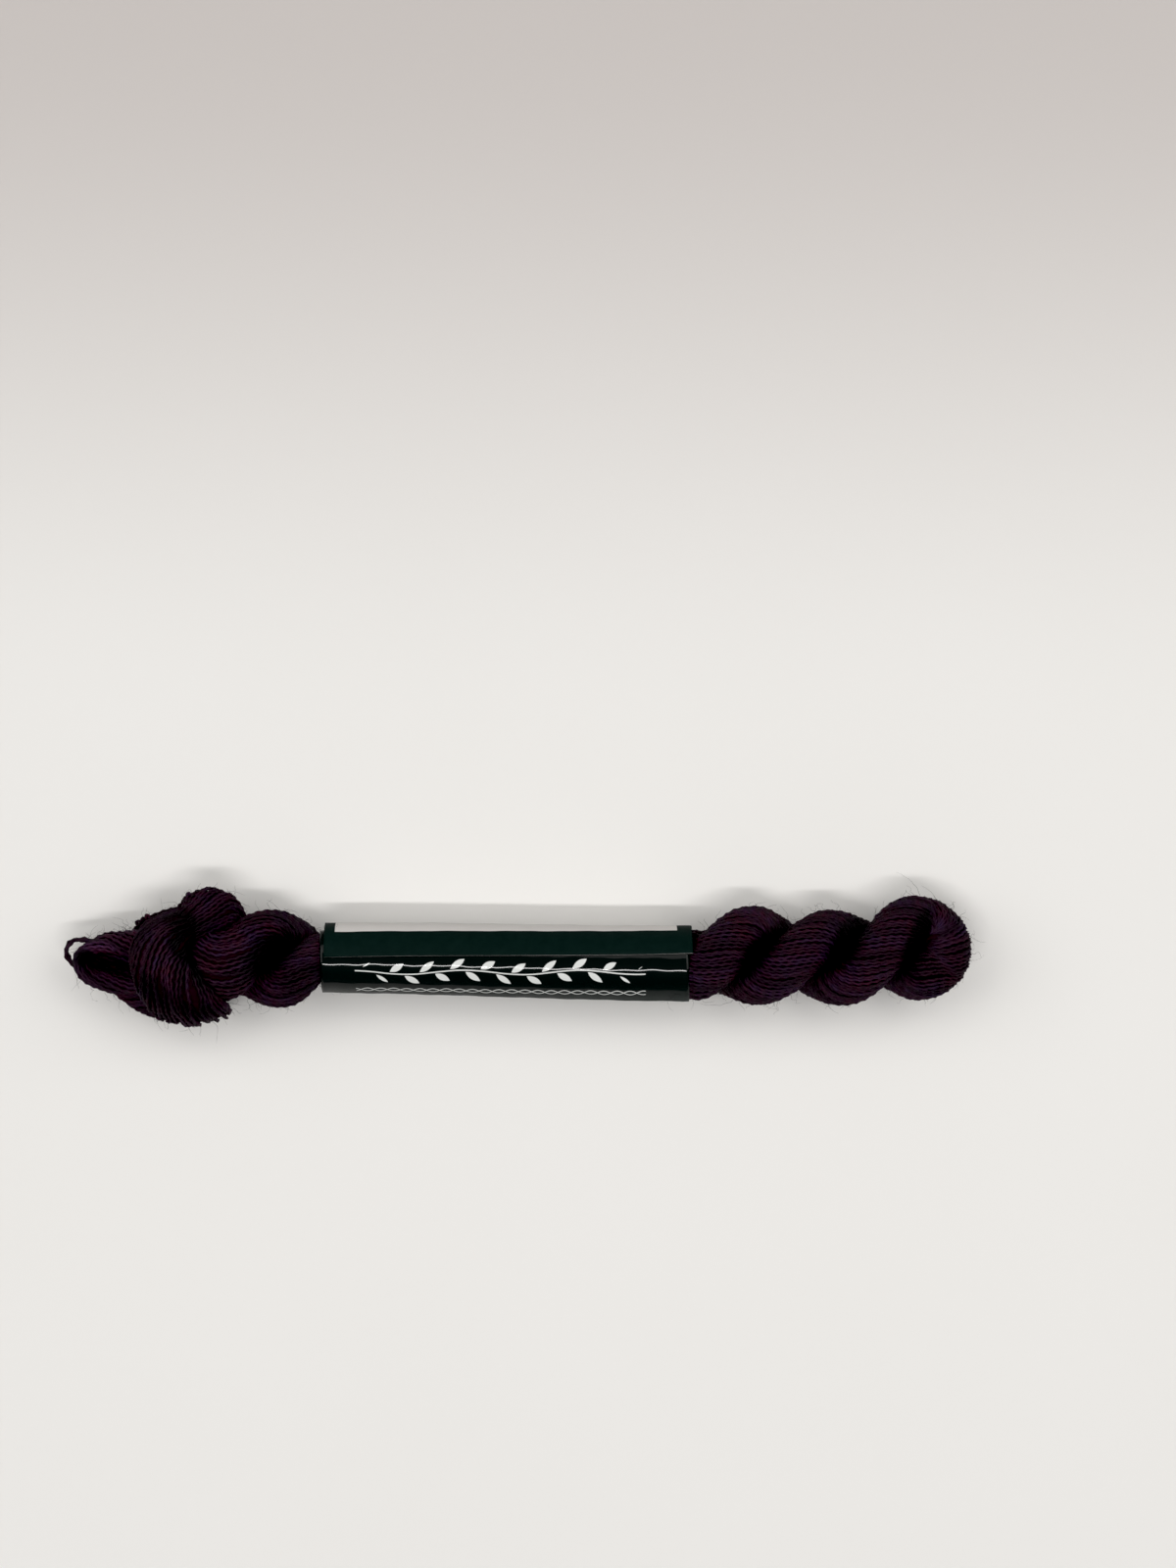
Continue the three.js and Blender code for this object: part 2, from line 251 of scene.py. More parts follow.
# A drift is a sum of waves, each as long and as strong as its share says, and damped
DRIFT_SHARES = (1.0, 0.55, 0.3)
DRIFT_DAMPING = 1.3
# Spacing of a bundle's rows. The plies wind, so theirs is a share of the thread's step. That of
# bundles which only shade others or carry hairs is in mm.
RIGHT_CLOSENESS, LEFT_CLOSENESS = 0.47, 0.7
SHADING_STEP = 0.4
FUZZ_STEP = 0.5
# A ply of the thread in section, in thread widths: the upper one, and the lower is its mirror image
PLY_CORNERS = [(0.56, 0.0), (0.24, 0.29), (-0.24, 0.29)]

# The clear space inside the band, how much further left its inner turn lies, and how fast the
# space opens past the band's ends
BAND_INNER_LEFT = 5.5
BAND_INNER_RIGHT = 6.05
BAND_INNER_SHIFT = 1
BAND_OPENING = 2.2

# The creases beside a bundle's own turns and beside other bundles, where shade is painted into
# the yarn's colour: the gaps at which they are darkest and open, then the painted light left there
# and how slowly it comes back. A strand does not count the stretch of its own bundle as its
# neighbour, and looks at every third section.
OWN_CREASE = (0.3, 3.0)
OTHER_CREASE = (-0.5, 1.0)
PLY_CREASE = (-1.4, 0.2)
CREASE_LIGHT = 0.04
CREASE_POWER = 1.3
OWN_STRETCH = 14
GAP_STRIDE = 3
# Light is painted on a thread's crown and shade on its flanks: the share of light on the flanks,
# the heights at which it starts to rise and is full, and how steeply it rises
FLANK_LIGHT = 0.12
FLANK_HEIGHT = -0.05
CROWN_HEIGHT = 0.9
CROWN_POWER = 1.5
# A hollow's painted light rises from this share of its size on, over this share, and is a little
# ragged. Hollows paint shade only on what lies above this height.
HOLLOW_CORE, HOLLOW_RISE = 0.7, 0.6
HOLLOW_RAGGED = 0.2
HOLLOWS_ABOVE = 4.5
# Painted shade in deep and shallow hollows on the upper side: x, y, half length, half width,
# degrees from X, and the painted light left there
HOLLOWS = [
    (42.1, 1.5, 5.6, 2.0, 47, 0),
    (56.0, 2.0, 5.8, 2.35, 55, 0),
    (67.9, 2.6, 6.0, 1.5, 64, 0),
    (-41.4, 0.8, 5.2, 2.9, 36, 0),
    (-56.6, 2.0, 3.0, 1.9, 95, 0),
    (-55.4, 5.6, 1.7, 1.1, 120, 0),
    (-54.5, -2.4, 3.4, 0.8, -66, 0),
    (-70.0, -1.5, 4.8, 0.8, -4, 0),
    (-74.0, -0.4, 1.5, 1.4, 0, 0),
    (-60.6, -6.2, 4.6, 1.9, -38, 0.3),
    (-55.5, -9.0, 4.2, 1.4, 0, 0.35),
    (-35.8, -3.8, 4.0, 2.6, 30, 0.55),
]
# Little slack turns of thread at the knot's outline: x, y, z, degrees that each is turned
SLACK_TURNS = [
    (-64.7, 5.6, 10.6, 20),
    (-64.0, 6.1, 11.0, 40),
    (-63.1, 6.6, 11.2, 10),
    (-57.7, 8.3, 10.4, 30),
    (-57.3, 8.9, 10.0, 60),
    (-56.9, 9.6, 9.6, 20),
    (-56.3, 10.3, 9.8, 40),
]
# Their sizes, how far they tilt, how far their ends run on in radians, how many points they have,
# and how much taller they are than wide
SLACK_TURN_SIZE = (0.3, 0.38)
SLACK_TURN_TILT = 0.4
SLACK_TURN_ROOT = 0.3
SLACK_TURN_POINTS = 14
SLACK_TURN_HEIGHT = 1.2
# A painted sheen: how much more light is painted on the nose's turns on the far side, and over how many
# millimetres of Y
NOSE_PAINTED_SHEEN = 1.1
NOSE_SHEEN_REACH = 1.5

# The hairs: how deep they root, their points, the shortest as a share of the longest, and how
# many are long stray ones and how much longer
HAIR_ROOT = 0.3
HAIR_POINTS = 10
SHORTEST_HAIR = 0.2
STRAY_SHARE, STRAY_LENGTH = 0.04, 1.8
# How far a hair leans over, how late it does so, how much it falls back, and the turns, start and
# width of its curl
HAIR_LEAN = (0.2, 1.4)
HAIR_LEAN_POWER = 1.5
HAIR_FALL = 0.35
HAIR_TURNS = (0.8, 2.4)
HAIR_PHASE = (0, 6)
HAIR_CURL = (0.15, 0.6)
# The lowest a hair may lie, the angles of its three corners, how it twists and how thin it ends
HAIR_CLEARANCE = 0.1
HAIR_CORNERS = (0, 2.1, 4.2)
HAIR_LAY = 5.0
HAIR_TIP = 0.35

# The dye's patches: colour, where its noise starts, the noise's scale, the least noise that shows
DYE_PATCHES = [("Red", 0.0, 170.0, 0.49), ("Blue", 5.0, 260.0, 0.57)]
PATCH_BLEND = 0.24
# How much a thread's own tone sways the patches, and the lightness of the darkest and lightest one
TONE_SWAY = 0.22
TONE_RANGE = (0.6, 1.5)
SHEEN_TINT = (0.42, 0.2, 0.36)
# How dark the core's two colours are, which paints shade on the yarn deep between the strands
CORE_SHADES = (0.15, 0.45)
# How far the printed ground and the bare paper vary
GROUND_SHADES = (0.8, 1.25)
BARE_SHADES = (0.8, 1.1)

# The stage, in metres. Its lights: name, place, size, power, colour, and what all look at
LIGHTS = [
    ("left", (-0.5, 0.12, 0.52), (0.6, 0.6), 1.95, (1.0, 0.985, 0.965)),
    ("right", (0.5, 0.12, 0.52), (0.6, 0.6), 2.05, (1.0, 0.985, 0.965)),
    ("key", (0.0, 0.42, 0.72), (0.8, 0.4), 1.2, (1.0, 0.985, 0.96)),
    ("strip", (0.0, -0.3, 0.8), (0.6, 0.04), 2.9, (1.0, 0.985, 0.98)),
]
LIGHTS_AIM = (0.0, 0.0, 0.0)
ROOM_COLOUR = (0.95, 0.97, 1.0, 1.0)
ROOM_STRENGTH = 0.12
BLACK_POINT = 0.005
# The floor's near colours, and its far one, a painted shade that it turns to between two places on Y
FLOOR_SIZE = 3.0
FLOOR_COLOURS = [(0.8, 0.79, 0.765), (0.82, 0.81, 0.79)]
FLOOR_SHADE_COLOUR = (0.58, 0.545, 0.525)
FLOOR_DIM_FROM, FLOOR_DIM_TO = 0.04, 0.17
CAMERA_LENS = 80
CAMERA_ELEVATION = 87.2
CAMERA_DISTANCE = 0.6
CAMERA_TARGET = (0.0122, 0.0296, 0.008)


class SkeinSizes(bpy.types.PropertyGroup):
    """Sizes of the thread, its fuzz and the band's paper."""

    thread: bpy.props.FloatProperty(
        name="Thread", description="Width of the two-ply thread", default=0.00064, unit="LENGTH"
    )
    thread_lay: bpy.props.FloatProperty(
        name="Thread lay",
        description="Length in which the thread's own two plies turn once",
        default=0.003,
        unit="LENGTH",
    )
    thread_step: bpy.props.FloatProperty(
        name="Thread step", description="Spacing of a strand's sections", default=0.00029, unit="LENGTH"
    )
    ply_strands: bpy.props.IntProperty(
        name="Strands in a ply", description="Strands round the outside of each ply", default=32
    )
    hairs: bpy.props.IntProperty(
        name="Hairs", description="How many fibres stand out of the yarn", default=2600
    )
    hair_length: bpy.props.FloatProperty(
        name="Hair length", description="Length of the longest usual hair", default=0.0034, unit="LENGTH"
    )
    hair_radius: bpy.props.FloatProperty(
        name="Hair radius", description="Radius of a hair at its root", default=0.00003, unit="LENGTH"
    )
    paper: bpy.props.FloatProperty(
        name="Paper", description="Thickness of the band's paper", default=0.00012, unit="LENGTH"
    )


class SkeinColours(bpy.types.PropertyGroup):
    """Colours of the yarn and the band."""

    plum: bpy.props.FloatVectorProperty(
        name="Plum", description="The yarn's main dye", subtype="COLOR", default=(0.026, 0.0085, 0.021)
    )
    maroon: bpy.props.FloatVectorProperty(
        name="Maroon", description="Redder fibres", subtype="COLOR", default=(0.04, 0.0075, 0.017)
    )
    violet: bpy.props.FloatVectorProperty(
        name="Violet", description="Bluer fibres", subtype="COLOR", default=(0.026, 0.0115, 0.035)
    )
    green: bpy.props.FloatVectorProperty(
        name="Green", description="The band's ground", subtype="COLOR", default=(0.0062, 0.0135, 0.0118)
    )
    panel: bpy.props.FloatVectorProperty(
        name="Panel",
        description="The band's light panel and its bare paper",
        subtype="COLOR",
        default=(0.62, 0.6, 0.58),
    )
    print_ink: bpy.props.FloatVectorProperty(
        name="White print", description="The light ornament", subtype="COLOR", default=(0.7, 0.72, 0.7)
    )


def eased(rows, column, x):
    """A column's value at x, easing from row to row."""
    if x <= rows[0][0]:
        return rows[0][column]
    for low, high in zip(rows, rows[1:]):
        if x < high[0]:
            share = (x - low[0]) / (high[0] - low[0])
            share = share * share * (3 - 2 * share)
            return low[column] + (high[column] - low[column]) * share
    return rows[-1][column]


def axis_at(x):
    """The point at x on the line that the bundles lie round."""
    within = min(max(x, NOSE_X), FOLD_X)
    return np.array([within, eased(AXIS, 1, within), AXIS_HEIGHT])


def turn_at(x, ply):
    """How far a ply has turned round the line at x: 0 on top, a quarter turn at the far side."""
    pitch = HALF_PITCH_IN_BAND if x < PHASE_X else HALF_PITCH
    even = math.pi * (x - PHASE_X) / pitch - math.pi / 2 + ply * math.pi
    return even + UPPER_HASTE * math.sin(even)


def round_axis(x, turn, reach):
    """The point at x that is a reach away from the line, turned round it."""
    place = axis_at(x)
    return (x, place[1] + reach * math.sin(turn), place[2] + reach * math.cos(turn))


def twist_sections(ply, start, end):
    """Sections of one ply along the even twist."""
    count = max(2, round(abs(end - start) / SECTION_STEP))
    sections = []
    for x in np.linspace(start, end, count + 1):
        reach, wide, thick = (eased(TWIST, column, x) for column in (1, 2, 3))
        sections.append((*round_axis(x, turn_at(x, ply), reach), wide, thick))
    return sections


def bend_sections():
    """The bend that joins the front ply's end to the back ply's end."""
    reach, wide, thick = TWIST[-1][1:]
    sections = []
    for swing in np.linspace(0, math.pi, BEND_SECTIONS)[1:-1]:
        share = min(swing, math.pi - swing) / (math.pi / 2)
        turn = turn_at(FOLD_X, 0) + FOLD_TURN * share
        x = FOLD_X + reach * math.sin(swing)
        sections.append((*round_axis(x, turn, reach * math.cos(swing)), wide, thick))
    return sections


def pressed_in(points):
    """Points of the plies, pressed in to the clear space inside the paper band."""
    within = np.clip(points[:, 0], BAND_LEFT - BAND_INNER_SHIFT, BAND_LEFT + BAND_LENGTH)
    share = (within - BAND_LEFT) / BAND_LENGTH
    most = BAND_INNER_LEFT + (BAND_INNER_RIGHT - BAND_INNER_LEFT) * share
    most += BAND_OPENING * np.abs(points[:, 0] - within)
    middle = np.array([axis_at(x) for x in points[:, 0]])
    middle[:, 0] = points[:, 0]
    reach = np.linalg.norm(points - middle, axis=1)
    return middle + (points - middle) * np.minimum(1, most / reach)[:, None]


def smooth_rows(rows, spacing):
    """Rows at an even spacing on a smooth curve through the given rows."""
    rows = np.array(rows, float)
    padded = np.vstack([2 * rows[0] - rows[1], rows, 2 * rows[-1] - rows[-2]])
    dense = np.linspace(0, len(rows) - 1, CURVE_POINTS * len(rows))
    first = np.minimum(dense.astype(int), len(rows) - 2)
    share = (dense - first)[:, None]
    before, start, end, after = (padded[first + i] for i in range(4))
    leave, arrive = (end - before) / 2, (after - start) / 2
    curve = (
        start
        + leave * share
        + (3 * (end - start) - 2 * leave - arrive) * share**2
        + (2 * (start - end) + leave + arrive) * share**3
    )
    length = np.concatenate([[0], np.cumsum(np.linalg.norm(np.diff(curve[:, :3], axis=0), axis=1))])
    places = np.linspace(0, length[-1], max(3, round(length[-1] / spacing) + 1))
    even = np.column_stack([np.interp(places, length, curve[:, i]) for i in range(curve.shape[1])])
    return even, places


def unit(vectors):
    return vectors / np.linalg.norm(vectors, axis=1)[:, None]


class Bundle:
    """A bundle of strands: the frame and the size of its section at every step of its length."""

    def __init__(self, sections, spacing):
        rows, self.length = smooth_rows(sections, spacing)
        self.middle = rows[:, :3]
        self.wide, self.thick = rows[:, 3], rows[:, 4]
        ahead = unit(np.gradient(self.middle, axis=0))
        out = self.middle - np.array([axis_at(x) for x in self.middle[:, 0]])
        out -= ahead * np.sum(out * ahead, axis=1)[:, None]
        self.out = unit(out)
        self.across = np.cross(ahead, self.out)

    def on_surface(self, angle, depth):
        """Points at the angle round each section, the depth below its outline."""
        flatness = (self.wide - self.thick) / (self.wide + self.thick)
        evened = angle - flatness / 2 * np.sin(2 * angle)
        out = self.out * (np.cos(evened) * (self.thick - depth))[:, None]
        across = self.across * (np.sin(evened) * (self.wide - depth))[:, None]
        return self.middle + out + across

    def gap_to(self, points, skip=None):
        """How far points lie outside this bundle. Points may skip the stretch at their own place."""
        every = slice(None, None, GAP_STRIDE)
        apart = points[:, None] - self.middle[None, every]
        square = np.einsum("ijk,ijk->ij", apart, apart)
        if skip is not None:
            square[np.abs(skip[:, None] - self.length[None, every]) < OWN_STRETCH] = np.inf
        nearest = np.argmin(square, axis=1)
        apart = apart[np.arange(len(points)), nearest]
        out = np.einsum("ij,ij->i", apart, self.out[every][nearest]) / self.thick[every][nearest]
        across = np.einsum("ij,ij->i", apart, self.across[every][nearest]) / self.wide[every][nearest]
        away = np.sqrt(square[np.arange(len(points)), nearest])
        ratio = np.sqrt(out**2 + across**2)
        sideways = (ratio - 1) * self.thick[every][nearest]
        beyond = away - np.maximum(self.wide, self.thick)[every][nearest]
        return np.maximum(sideways, beyond)


class Strand:
    """One thread: its path, which way is out of its bundle, its thickness and the light and shade
    painted on it.
    """

    def __init__(self, path, out, size=None):
        self.path = path
        self.out = out
        self.size = np.ones(len(path)) if size is None else size
        self.light = np.ones(len(path))


def wander(rng, length, size, wave):
    """A slow random drift along a strand."""
    drift = np.zeros_like(length)
    for share in DRIFT_SHARES:
        drift += share * np.sin(length * 2 * math.pi / (wave * share) + rng.uniform(0, 2 * math.pi))
    return drift * size / DRIFT_DAMPING


def lay_round(bundle, count, lays, rng, thread, sunk=0.0, uneven=UNEVEN):
    """Strands round a bundle, turning round it at the given lays, some of them a little proud."""
    share = bundle.length / bundle.length[-1]
    rate = np.interp(share, [row[0] for row in lays], [row[1] for row in lays])
    turned = np.concatenate([[0], np.cumsum(rate[1:] * np.diff(bundle.length))])
    gap = 2 * math.pi / count
    size = np.clip(gap * (bundle.wide + bundle.thick) / 2 / thread, *SQUEEZE)
    strands = []
    for i in range(count):
        start = gap * (i + rng.uniform(-START_DRIFT, START_DRIFT))
        slack = wander(rng, bundle.length, (SIDE_DRIFT + uneven) * gap, SIDE_WAVE)
        depth = thread / 2 + sunk + wander(rng, bundle.length, DEPTH_DRIFT * thread, DEPTH_WAVE)
        depth += rng.uniform(-uneven, uneven)
        path = pressed_in(bundle.on_surface(start + turned + slack, depth))
        path[:, 2] = np.maximum(path[:, 2], thread * TABLE_CLEARANCE)
        strands.append(Strand(path, unit(path - bundle.middle), size))
    return strands


def lay_two_layers(bundle, counts, lays, rng, thread, uneven=UNEVEN):
    """Strands over a bundle, and fewer or none under them that fill the gaps where they spread."""
    outer, inner = counts
    strands = lay_round(bundle, outer, lays, rng, thread, 0.0, uneven)
    if inner:
        strands += lay_round(bundle, inner, lays, rng, thread, UNDER_DEPTH * thread)
    return strands


def hollow_light(points, ragged):
    """The light painted on points on the upper side, which is little in the deep hollows, where shade is
    painted.
    """
    light = np.ones(len(points))
    for x, y, half_length, half_width, lean, least in HOLLOWS:
        turn = math.radians(lean)
        apart = points[:, :2] - (x, y)
        along = (apart[:, 0] * math.cos(turn) + apart[:, 1] * math.sin(turn)) / half_length
        across = (apart[:, 1] * math.cos(turn) - apart[:, 0] * math.sin(turn)) / half_width
        # Painted shade: inside each hollow the light falls to its least share.
        rise = np.clip((np.hypot(along, across) - HOLLOW_CORE + ragged) / HOLLOW_RISE, 0, 1)
        light = np.minimum(light, least + (1 - least) * rise)
    return np.where(points[:, 2] > HOLLOWS_ABOVE, light, 1)


def crease_share(gap, crease):
    """0 where the gap is a dark crease, and 1 where it is open."""
    return np.clip((gap - crease[0]) / (crease[1] - crease[0]), 0, 1)


def beside(bundles):
    """The bundles with the usual crease beside another bundle."""
    return [(bundle, OTHER_CREASE) for bundle in bundles]


def shade_creases(strands, own, others, rng):
    """Paints shade on the strands where they run into a crease or a hollow, by lowering their stored
    light.
    """
    for strand in strands:
        open_share = crease_share(own.gap_to(strand.path, own.length), OWN_CREASE)
        for other, crease in others:
            open_share = np.minimum(open_share, crease_share(other.gap_to(strand.path), crease))
        open_share *= hollow_light(strand.path, rng.uniform(-HOLLOW_RAGGED, HOLLOW_RAGGED))
        # Painted shade: the stored light darkens the strand's colour, down to this share in a crease.
        strand.light = CREASE_LIGHT + (1 - CREASE_LIGHT) * open_share**CREASE_POWER


def deselect_all():
    bpy.ops.object.select_all(action="DESELECT")


def pick(piece):
    """Makes a piece the active one and the only one selected."""
    deselect_all()
    piece.select_set(True)
    bpy.context.view_layer.objects.active = piece


def add_object(name, data):
    added = bpy.data.objects.new(name, data)
    bpy.context.scene.collection.objects.link(added)
    return added


def ring_profile(corners):
    """A flat closed curve through the given corners, in millimetres: the section of a thread."""
    outline = bpy.data.curves.new("profile", "CURVE")
    outline.dimensions = "2D"
    ring = outline.splines.new("POLY")
    ring.points.add(len(corners) - 1)
    ring.use_cyclic_u = True
    for point, (x, y) in zip(ring.points, corners):
        point.co = (x * MM, y * MM, 0, 1)
    return add_object("profile", outline)


def two_ply_section(thread):
    """Two round plies side by side, which show as a rope once the section is turned."""
    lower = [(-x, -y) for x, y in PLY_CORNERS]
    return [(x * thread, y * thread) for x, y in PLY_CORNERS + lower]


def sweep_threads(name, strands, section, lay, rng, tip):
    """One mesh of threads: the section is swept along each path and turns once in each lay."""
    profile = ring_profile(section)
    line = bpy.data.curves.new(name, "CURVE")
    line.dimensions = "3D"
    line.bevel_mode = "OBJECT"
    line.bevel_object = profile
    for strand in strands:
        count = len(strand.path)
        spline = line.splines.new("POLY")
        spline.points.add(count - 1)
        spline.points.foreach_set("co", np.column_stack([strand.path * MM, np.ones(count)]).ravel())
        steps = np.linalg.norm(np.diff(strand.path, axis=0), axis=1)
        turned = np.concatenate([[0], np.cumsum(steps)]) * 2 * math.pi / lay + rng.uniform(0, math.pi)
        spline.points.foreach_set("tilt", turned)
        spline.points.foreach_set("radius", strand.size * np.linspace(1, tip, count))
    piece = add_object(name, line)
    pick(piece)
    bpy.ops.object.convert(target="MESH")
    bpy.data.objects.remove(profile)
    if len(piece.data.vertices) != sum(len(strand.path) for strand in strands) * len(section):
        raise RuntimeError(f"{name}: a thread's section lost or gained points")
    return piece


def mark_light(piece, strands, section, rng):
    """Stores each thread's own tone and the light painted on its points: most at its crown, with shade
    painted on its flanks.
    """
    corners = len(section)
    counts = [len(strand.path) * corners for strand in strands]
    place = np.empty(len(piece.data.vertices) * 3)
    piece.data.vertices.foreach_get("co", place)
    middle, out, light, size = (
        np.repeat(np.concatenate([getattr(strand, kind) for strand in strands]), corners, axis=0)
        for kind in ("path", "out", "light", "size")
    )
    height = np.einsum("ij,ij->i", place.reshape(-1, 3) / MM - middle, out)
    height /= size * max(map(max, section))
    # Painted light on the crown and painted shade on the flanks.
    crown = np.interp(height, [FLANK_HEIGHT, CROWN_HEIGHT], [FLANK_LIGHT, 1.0]) ** CROWN_POWER
    tone = np.repeat(rng.uniform(0, 1, len(strands)), counts)
    for label, values in (("tone", tone), ("light", light * crown)):
        layer = piece.data.attributes.new(label, "FLOAT", "POINT")
        layer.data.foreach_set("value", values)


def spin_strands(name, strands, section, lay, rng, tip=1.0):
    """One mesh of threads with closed ends, each with its own tone and the light and shade painted on
    it.
    """
    piece = sweep_threads(name, strands, section, lay, rng, tip)
    mark_light(piece, strands, section, rng)
    bpy.ops.object.mode_set(mode="EDIT")
    bpy.ops.mesh.select_all(action="SELECT")
    bpy.ops.mesh.fill_holes(sides=len(section))
    bpy.ops.object.mode_set(mode="OBJECT")
    bpy.ops.object.shade_smooth()
    return piece


def feed(tree, socket, value):
    """Sets an input to a value, or links it where the value is another node's output."""
    if isinstance(value, bpy.types.NodeSocket):
        tree.links.new(value, socket)
    else:
        socket.default_value = value


def set_inputs(tree, node, values):
    for name, value in values.items():
        feed(tree, node.inputs[name], value)


def add_node(tree, kind, **settings):
    """A node with the given settings. A setting named like an input is that input's value."""
    node = tree.nodes.new(kind)
    for name, value in settings.items():
        if hasattr(node, name):
            setattr(node, name, value)
        else:
            feed(tree, node.inputs[name.replace("_", " ")], value)
    return node


def calc(tree, operation, *values):
    """A math node's result. The values are numbers or other nodes' outputs."""
    node = add_node(tree, "ShaderNodeMath", operation=operation)
    for socket, value in zip(node.inputs, values):
        feed(tree, socket, value)
    return node.outputs[0]


def opaque(colour, share=1.0):
    """A colour at a share of its lightness, as a socket takes it."""
    return (*(part * share for part in colour), 1)


def mix(tree, share, first, second):
    """The mix of two colours. All three are values or other nodes' outputs."""
    node = add_node(tree, "ShaderNodeMix", data_type="RGBA", Factor=share, A=first, B=second)
    return node.outputs["Result"]


def noise(tree, scale, detail, **settings):
    """Noise, over the piece's own space unless the settings give another Vector."""
    if "Vector" not in settings:
        settings["Vector"] = add_node(tree, "ShaderNodeTexCoord").outputs["Object"]
    node = add_node(tree, "ShaderNodeTexNoise", Scale=scale, Detail=detail, **settings)
    return node.outputs["Fac"]


def relief(tree, height, strength, distance):
    """The normal of a surface that is raised by the given height."""
    node = add_node(tree, "ShaderNodeBump", Strength=strength, Distance=distance, Height=height)
    return node.outputs["Normal"]


def ranged(tree, value, **settings):
    """A value that is moved from one range to another and held within it."""
    return add_node(tree, "ShaderNodeMapRange", Value=value, **settings).outputs["Result"]


def share_of_y(tree, place, start, end):
    """How far a place's Y is on its way from start to end, eased."""
    y = add_node(tree, "ShaderNodeSeparateXYZ", Vector=place).outputs["Y"]
    return ranged(tree, y, interpolation_type="SMOOTHSTEP", From_Min=start, From_Max=end)


def new_group(name, inputs, outputs):
    """A shader node group with the named sockets, and its two end nodes."""
    group = bpy.data.node_groups.new(name, "ShaderNodeTree")
    for label, kind, value in inputs:
        socket = group.interface.new_socket(label, in_out="INPUT", socket_type=kind)
        if value is not None:
            socket.default_value = value
    for label, kind in outputs:
        group.interface.new_socket(label, in_out="OUTPUT", socket_type=kind)
    return group, group.nodes.new("NodeGroupInput"), group.nodes.new("NodeGroupOutput")


def dye_and_painted_light_group():
    """The heathered dye with painted light: slow patches of three colours, lighter and darker from
    thread to thread, then scaled by the light and shade painted on the threads.
    """
    inputs = [
        ("Main", "NodeSocketColor", None),
        ("Red", "NodeSocketColor", None),
        ("Blue", "NodeSocketColor", None),
        ("Tone", "NodeSocketFloat", 0.5),
        ("Light", "NodeSocketFloat", 1.0),
    ]
    group, entry, leave = new_group("Heathered dye and painted light", inputs, [("Colour", "NodeSocketColor")])
    place = add_node(group, "ShaderNodeTexCoord").outputs["Object"]
    tone, colour = entry.outputs["Tone"], entry.outputs["Main"]
    for label, shift, scale, least in DYE_PATCHES:
        moved = add_node(group, "ShaderNodeMapping", Vector=place, Location=(shift, shift, 0))
        patches = noise(group, scale, detail=5.0, Roughness=0.7, Vector=moved.outputs["Vector"])
        swayed = calc(group, "MULTIPLY_ADD", tone, TONE_SWAY, patches)
        share = ranged(group, swayed, From_Min=least, From_Max=least + PATCH_BLEND)
        colour = mix(group, share, colour, entry.outputs[label])
    darkest, lightest = TONE_RANGE
    lightness = ranged(group, tone, To_Min=darkest, To_Max=lightest)
    # The light and shade painted on the threads scale the colour here.
    lightness = calc(group, "MULTIPLY", lightness, entry.outputs["Light"])
    toned = add_node(group, "ShaderNodeVectorMath", operation="SCALE", Vector=colour, Scale=lightness)
    group.links.new(toned.outputs["Vector"], leave.inputs["Colour"])
    return group


def fibre_group():
    """Fine fibres along a thread, from its own UV map: round it in V, along it in U."""
    inputs = [("Along", "NodeSocketFloat", 60.0), ("Round", "NodeSocketFloat", 9.0)]
    group, entry, leave = new_group("Thread fibres", inputs, [("Height", "NodeSocketFloat")])
    chart = add_node(group, "ShaderNodeUVMap", uv_map="UVMap")
    size = add_node(group, "ShaderNodeCombineXYZ", X=entry.outputs["Along"], Y=entry.outputs["Round"])
    stretched = add_node(group, "ShaderNodeVectorMath", operation="MULTIPLY")
    feed(group, stretched.inputs[0], chart.outputs["UV"])
    feed(group, stretched.inputs[1], size.outputs["Vector"])
    fibres = noise(group, scale=1.0, detail=2.0, Roughness=0.6, Vector=stretched.outputs["Vector"])
    group.links.new(fibres, leave.inputs["Height"])
    return group


def shared_group(name, build):
    return bpy.data.node_groups.get(name) or build()


def blank_material(name):
    """A material, with its nodes and its Principled shader."""
    material = bpy.data.materials.new(name)
    material.use_nodes = True
    tree = material.node_tree
    return material, tree, tree.nodes["Principled BSDF"]


def yarn_material(name, colours, roughness, sheen, strength):
    """Dyed wool, with fine fibres along its threads, a tone for each thread, shade painted in creases
    and hollows, and light painted on crowns.
    """
    material, tree, shader = blank_material(name)
    tone, light = (
        add_node(tree, "ShaderNodeAttribute", attribute_name=kind).outputs["Fac"]
        for kind in ("tone", "light")
    )
    # This group also paints the stored light and shade into the dye's colour.
    dye = add_node(tree, "ShaderNodeGroup", node_tree=shared_group("Heathered dye and painted light", dye_and_painted_light_group))
    dyes = {"Main": colours.plum, "Red": colours.maroon, "Blue": colours.violet}
    set_inputs(tree, dye, {label: opaque(colour) for label, colour in dyes.items()})
    set_inputs(tree, dye, {"Tone": tone, "Light": light})
    fibres = add_node(tree, "ShaderNodeGroup", node_tree=shared_group("Thread fibres", fibre_group))
    look = {
        "Base Color": dye.outputs["Colour"],
        "Normal": relief(tree, fibres.outputs["Height"], strength, distance=0.00008),
        "Roughness": roughness,
        "Specular IOR Level": 0.12,
        "Sheen Weight": sheen,
        "Sheen Roughness": 0.45,
        "Sheen Tint": opaque(SHEEN_TINT),
    }
    set_inputs(tree, shader, look)
    return material


